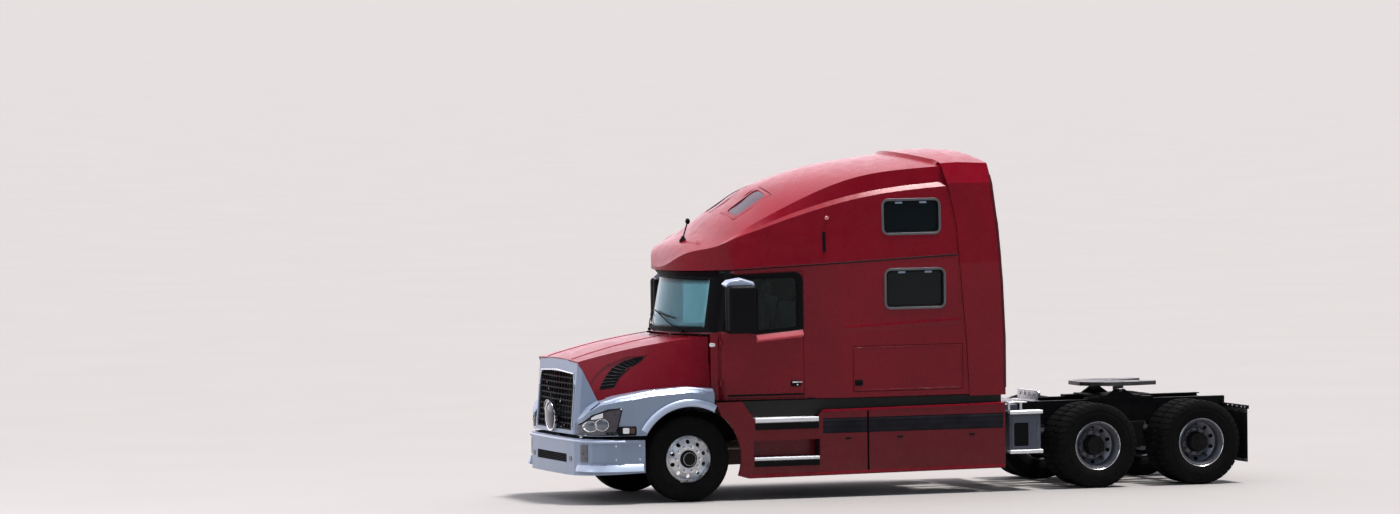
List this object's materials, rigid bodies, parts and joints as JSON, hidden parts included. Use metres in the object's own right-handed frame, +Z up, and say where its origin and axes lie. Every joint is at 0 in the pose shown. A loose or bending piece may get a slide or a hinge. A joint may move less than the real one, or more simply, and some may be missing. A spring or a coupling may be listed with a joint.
{
  "type": "semi truck tractor unit",
  "caption": "Conventional high-roof sleeper tractor unit with tilting hood, steered front axle, twin-wheel tandem drive axles, tilting fifth wheel, hinged cab and luggage doors.",
  "frame": {"origin": "on the ground, below the middle of the truck's length and width", "axes": "+X forward along the truck, +Y to its left, +Z up"},
  "size_m": [8.4, 2.88, 4.018],
  "materials": {
    "black_paint": "satin black chassis paint",
    "black_plastic": "black moulded plastic",
    "black_rubber": "matt black rubber",
    "bright_aluminium": "bare aluminium",
    "cabin_plastic": "grey brown cabin plastic",
    "cast_metal": "cast and forged steel",
    "chrome": "chromed shell",
    "exhaust_steel": "aluminised steel",
    "lamp_plastic": "clear lamp lens",
    "red_lamp": "red lamp lens",
    "red_paint": "deep red gloss paint",
    "seat_fabric": "dark grey woven cloth",
    "silver_trim": "silver painted mouldings",
    "tinted_glass": "tinted glass",
    "tyre_rubber": "dusty black tread rubber",
    "wheel_metal": "polished wheel"
  },
  "bodies": {
    "chassis": {"air_tanks": "black_paint", "bumper": "silver_trim", "bunks": "seat_fabric", "cab_glass": "tinted_glass", "cab_shell": "red_paint", "chassis_frame": "black_paint", "dashboard": "cabin_plastic", "deck_steps": "bright_aluminium", "drive_axles": "cast_metal", "driveline": "cast_metal", "engine_block": "cast_metal", "exhaust": "exhaust_steel", "extenders": "red_paint", "fifth_wheel_base": "black_paint", "front_axle": "cast_metal", "fuel_tanks": "bright_aluminium", "mudflaps": "black_rubber", "radiator": "bright_aluminium", "roof": "red_paint", "seats": "seat_fabric", "side_fairing_left": "red_paint", "side_fairing_right": "red_paint", "steering_wheel": "black_plastic", "step_treads": "bright_aluminium", "suspension": "cast_metal", "tail_lamps": "red_lamp"},
    "hood": {"hood": "red_paint", "grille_surround": "silver_trim", "grille": "black_plastic", "fenders": "silver_trim", "headlamps": "lamp_plastic", "centre_lamp": "chrome"},
    "fifth_wheel": {"fifth_wheel_plate": "cast_metal"},
    "door_left": {"door_left": "red_paint", "door_glass_left": "tinted_glass", "mirror_left": "black_plastic"},
    "luggage_door_left": {"luggage_door_left": "red_paint"},
    "knuckle_left": {"knuckle_left": "cast_metal"},
    "wheel_front_left": {"rim_front_left": "wheel_metal", "tyre_front_left": "tyre_rubber"},
    "wheel_drive_1_left": {"rims_drive_1_left": "wheel_metal", "tyres_drive_1_left": "tyre_rubber"},
    "wheel_drive_2_left": {"rims_drive_2_left": "wheel_metal", "tyres_drive_2_left": "tyre_rubber"},
    "door_right": {"door_right": "red_paint", "door_glass_right": "tinted_glass", "mirror_right": "black_plastic"},
    "luggage_door_right": {"luggage_door_right": "red_paint"},
    "knuckle_right": {"knuckle_right": "cast_metal"},
    "wheel_front_right": {"rim_front_right": "wheel_metal", "tyre_front_right": "tyre_rubber"},
    "wheel_drive_1_right": {"rims_drive_1_right": "wheel_metal", "tyres_drive_1_right": "tyre_rubber"},
    "wheel_drive_2_right": {"rims_drive_2_right": "wheel_metal", "tyres_drive_2_right": "tyre_rubber"}
  },
  "joints": [
    {"name": "hood_tilt", "type": "hinge", "parent": "chassis", "child": "hood", "pos_m": [4.1, 0, 0.6], "axis": [0, 1, 0], "range_deg": [0, 75]},
    {"name": "fifth_wheel_tilt", "type": "hinge", "parent": "chassis", "child": "fifth_wheel", "pos_m": [-2.8, 0, 1.1], "axis": [0, 1, 0], "range_deg": [-12, 12]},
    {"name": "door_left_swing", "type": "hinge", "parent": "chassis", "child": "door_left", "pos_m": [2.445, 1.034, 1.9], "axis": [0, 0, 1], "range_deg": [-70, 0]},
    {"name": "luggage_left_lift", "type": "hinge", "parent": "chassis", "child": "luggage_door_left", "pos_m": [0.2, 1.205, 1.757], "axis": [1, 0, 0], "range_deg": [0, 85]},
    {"name": "steer_left", "type": "hinge", "parent": "chassis", "child": "knuckle_left", "pos_m": [2.9, 0.87, 0.5], "axis": [0, 0, 1], "range_deg": [-35, 35]},
    {"name": "roll_front_left", "type": "hinge", "parent": "knuckle_left", "child": "wheel_front_left", "pos_m": [2.9, 1.035, 0.5], "axis": [0, 1, 0], "continuous": true},
    {"name": "roll_drive_1_left", "type": "hinge", "parent": "chassis", "child": "wheel_drive_1_left", "pos_m": [-2.2, 0.9145, 0.5], "axis": [0, 1, 0], "continuous": true},
    {"name": "roll_drive_2_left", "type": "hinge", "parent": "chassis", "child": "wheel_drive_2_left", "pos_m": [-3.52, 0.9145, 0.5], "axis": [0, 1, 0], "continuous": true},
    {"name": "door_right_swing", "type": "hinge", "parent": "chassis", "child": "door_right", "pos_m": [2.445, -1.034, 1.9], "axis": [0, 0, 1], "range_deg": [0, 70]},
    {"name": "luggage_right_lift", "type": "hinge", "parent": "chassis", "child": "luggage_door_right", "pos_m": [0.2, -1.205, 1.757], "axis": [1, 0, 0], "range_deg": [-85, 0]},
    {"name": "steer_right", "type": "hinge", "parent": "chassis", "child": "knuckle_right", "pos_m": [2.9, -0.87, 0.5], "axis": [0, 0, 1], "range_deg": [-35, 35]},
    {"name": "roll_front_right", "type": "hinge", "parent": "knuckle_right", "child": "wheel_front_right", "pos_m": [2.9, -1.035, 0.5], "axis": [0, 1, 0], "continuous": true},
    {"name": "roll_drive_1_right", "type": "hinge", "parent": "chassis", "child": "wheel_drive_1_right", "pos_m": [-2.2, -0.9145, 0.5], "axis": [0, 1, 0], "continuous": true},
    {"name": "roll_drive_2_right", "type": "hinge", "parent": "chassis", "child": "wheel_drive_2_right", "pos_m": [-3.52, -0.9145, 0.5], "axis": [0, 1, 0], "continuous": true}
  ],
  "couplings": [
    {"joint": "steer_right", "follows": "steer_left", "ratio": 1}
  ]
}
